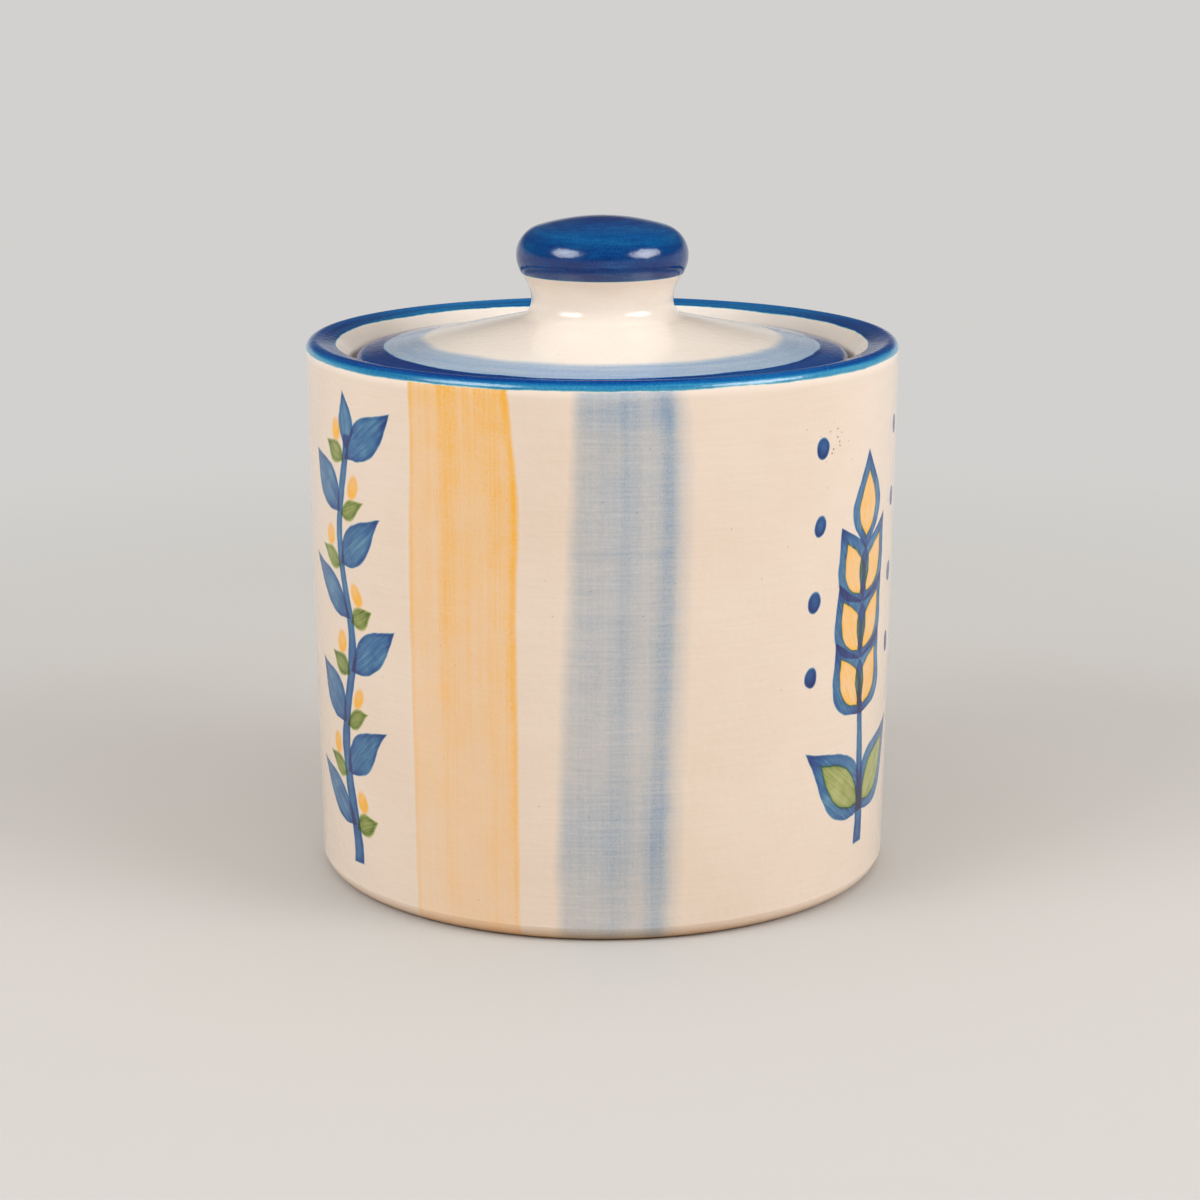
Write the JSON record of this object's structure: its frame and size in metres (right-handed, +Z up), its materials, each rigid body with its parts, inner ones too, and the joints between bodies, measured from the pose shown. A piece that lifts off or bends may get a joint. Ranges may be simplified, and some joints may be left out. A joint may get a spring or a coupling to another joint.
{
  "type": "sugar canister",
  "caption": "Round glazed stoneware kitchen canister with a recessed rim, a domed drop-in lid and a turned knob, painted with bands and brush stripes.",
  "frame": {"origin": "centre of the bottom, on the plane that the foot ring stands on", "axes": "+Z up along the turning axis of the jar, lid and knob; -Y is the front, with the orange stripe to the left and the pale blue stripe to the right"},
  "size_m": [0.152, 0.1518, 0.1692],
  "materials": {
    "jar_glaze": "glossy clear glaze over cream stoneware, with a blue rim band, an orange and a pale blue stripe, and bare clay on the foot ring and the lid seat",
    "lid_glaze": "glossy clear glaze over cream stoneware, with a pale blue band and a dark blue band at the edge",
    "knob_glaze": "glossy clear glaze over a dark blue painted head and a cream neck"
  },
  "bodies": {
    "jar": {"jar": "jar_glaze"},
    "lid": {"lid": "lid_glaze", "knob": "knob_glaze"}
  },
  "joints": [
    {"name": "lid_lift", "type": "slide", "parent": "jar", "child": "lid", "axis": [0, 0, 1], "range_m": [0, 0.06]}
  ]
}
